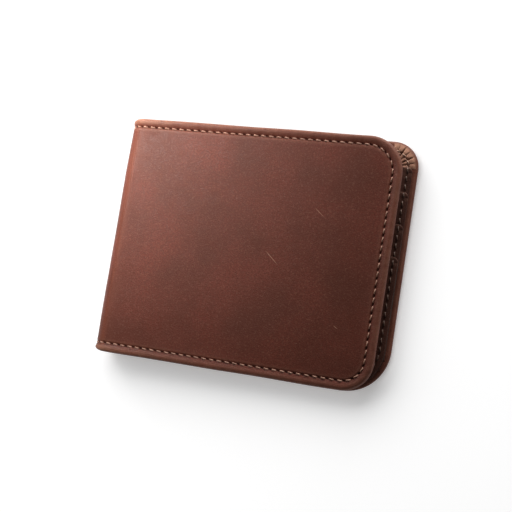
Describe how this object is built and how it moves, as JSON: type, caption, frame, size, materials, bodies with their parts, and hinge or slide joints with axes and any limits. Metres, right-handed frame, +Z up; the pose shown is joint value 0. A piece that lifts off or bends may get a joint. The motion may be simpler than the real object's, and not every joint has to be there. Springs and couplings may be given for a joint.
{
  "type": "bifold wallet",
  "caption": "Closed bifold leather wallet with a stitched, turned-edge cover, a lined note compartment and stepped card pockets, folding open at a rolled spine.",
  "frame": {"origin": "bottom centre of the closed wallet's bounding box, where its back cover rests", "axes": "+X from the folded spine towards the free edges, +Y from the sewn bottom edge towards the open top of the note compartment, +Z up from the back cover to the front cover"},
  "size_m": [0.1122, 0.089, 0.0115],
  "materials": {
    "cover_leather": "smooth pull-up leather, satin",
    "inner_leather": "smooth leather, matte",
    "lining_cloth": "plain weave",
    "board": "plain",
    "thread": "waxed twisted thread"
  },
  "bodies": {
    "back_half": {"cover_back": "cover_leather", "stiffener_back": "board", "bill_lining_back": "lining_cloth", "bill_divider_back": "inner_leather", "rear_slot_back": "inner_leather", "rear_slot_tail_back": "lining_cloth", "middle_slot_back": "inner_leather", "middle_slot_tail_back": "lining_cloth", "front_pocket_back": "inner_leather", "outer_seam_back": "thread", "inner_seam_back": "thread", "pocket_seam_back": "thread"},
    "spine_1": {"cover_spine_1": "cover_leather", "bill_lining_spine_1": "lining_cloth", "bill_divider_spine_1": "inner_leather", "spine_seam_bottom_1": "thread", "spine_seam_top_1": "thread"},
    "spine_2": {"cover_spine_2": "cover_leather", "bill_lining_spine_2": "lining_cloth", "bill_divider_spine_2": "inner_leather", "spine_seam_bottom_2": "thread", "spine_seam_top_2": "thread"},
    "front_half": {"cover_front": "cover_leather", "stiffener_front": "board", "bill_lining_front": "lining_cloth", "bill_divider_front": "inner_leather", "rear_slot_front": "inner_leather", "rear_slot_tail_front": "lining_cloth", "middle_slot_front": "inner_leather", "middle_slot_tail_front": "lining_cloth", "front_pocket_front": "inner_leather", "outer_seam_front": "thread", "inner_seam_front": "thread", "pocket_seam_front": "thread"}
  },
  "joints": [
    {"name": "fold_1", "type": "hinge", "parent": "back_half", "child": "spine_1", "pos_m": [-0.05286, 0, 0], "axis": [0, -1, 0], "range_deg": [0, 60.5]},
    {"name": "fold_2", "type": "hinge", "parent": "spine_1", "child": "spine_2", "pos_m": [-0.05614, 0, 0.0058], "axis": [0, -1, 0], "range_deg": [0, 60.5]},
    {"name": "fold_3", "type": "hinge", "parent": "spine_2", "child": "front_half", "pos_m": [-0.0527, 0, 0.0115], "axis": [0, -1, 0], "range_deg": [0, 60.5]}
  ],
  "couplings": [
    {"joint": "fold_1", "follows": "fold_3", "ratio": 1},
    {"joint": "fold_2", "follows": "fold_3", "ratio": 1}
  ]
}
